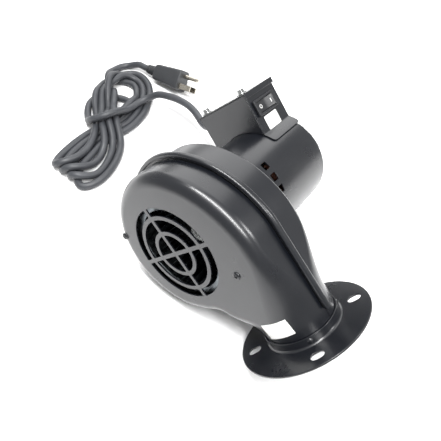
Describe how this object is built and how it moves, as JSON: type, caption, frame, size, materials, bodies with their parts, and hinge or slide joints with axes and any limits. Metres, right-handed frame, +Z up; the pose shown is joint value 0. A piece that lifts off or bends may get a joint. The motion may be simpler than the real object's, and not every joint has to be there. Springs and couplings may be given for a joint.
{
  "type": "combustion fan",
  "caption": "Small centrifugal combustion blower with a round outlet flange, enclosed motor, rocker switch box and a power cord lying in a hank.",
  "frame": {"origin": "centre of the blower's footprint on the table that it lies on, at table height; the free cord isn't counted", "axes": "+Z up from the table, +Y along the motor's shaft towards the motor's rear as seen from above, +X towards the outlet flange"},
  "size_m": [0.4112, 0.2546, 0.1341],
  "materials": {
    "black_paint": "satin-gloss black enamel",
    "galvanised_steel": "bright galvanised",
    "lamination_steel": "dull dark steel",
    "copper_wire": "varnished copper",
    "sintered_bronze": "matte bronze",
    "plated_brass": "nickel plated",
    "black_nylon": "fine matte",
    "cord_rubber": "satin black PVC",
    "white_label": "satin paper",
    "zinc_steel": "bright zinc"
  },
  "bodies": {
    "housing": {"front_shell": "black_paint", "rear_shell": "black_paint", "outlet_flange": "black_paint", "flange_rivet_1": "black_paint", "flange_rivet_2": "black_paint", "flange_rivet_3": "black_paint", "flange_rivet_4": "black_paint", "housing_screw_1": "zinc_steel", "housing_screw_2": "zinc_steel", "motor_shell": "black_paint", "motor_end_plate": "galvanised_steel", "rear_bearing_seat": "galvanised_steel", "stator_core": "lamination_steel", "bearing_front": "sintered_bronze", "bearing_rear": "sintered_bronze", "thrust_washer_front": "black_nylon", "thrust_washer_rear": "black_nylon", "winding_front": "copper_wire", "winding_rear": "copper_wire", "through_bolt_1": "zinc_steel", "bolt_nut_1": "zinc_steel", "through_bolt_2": "zinc_steel", "bolt_nut_2": "zinc_steel", "through_bolt_3": "zinc_steel", "bolt_nut_3": "zinc_steel", "motor_mount_screw_1": "zinc_steel", "motor_mount_screw_2": "zinc_steel", "motor_mount_screw_3": "zinc_steel", "box_frame": "black_paint", "box_front": "black_paint", "box_cover": "black_paint", "cover_screw_1": "zinc_steel", "cover_screw_2": "zinc_steel", "switch_body": "black_nylon", "switch_terminal_1": "plated_brass", "switch_terminal_2": "plated_brass", "box_label": "white_label", "neck_label": "white_label", "strain_relief": "black_nylon", "plug_body": "cord_rubber", "plug_blade_hot": "plated_brass", "plug_blade_neutral": "plated_brass", "plug_ground_pin": "plated_brass", "cord_lead": "cord_rubber", "cord_tail": "cord_rubber", "cord_hank": "cord_rubber"},
    "wheel": {"wheel_blade_strip": "galvanised_steel", "wheel_end_ring": "galvanised_steel", "wheel_back_disc": "galvanised_steel", "wheel_hub": "zinc_steel", "hub_set_screw": "lamination_steel", "motor_shaft": "zinc_steel", "rotor_core": "lamination_steel"},
    "rocker": {"switch_rocker": "black_nylon"}
  },
  "joints": [
    {"name": "shaft_spin", "type": "hinge", "parent": "housing", "child": "wheel", "pos_m": [-0.02787, -0.04393, 0.06294], "axis": [0, 0.9866, -0.1633], "continuous": true},
    {"name": "rocker_tilt", "type": "hinge", "parent": "housing", "child": "rocker", "pos_m": [-0.05043, 0.07494, 0.10073], "axis": [-0.7304, 0.1116, 0.6738], "range_deg": [0, 20]}
  ]
}
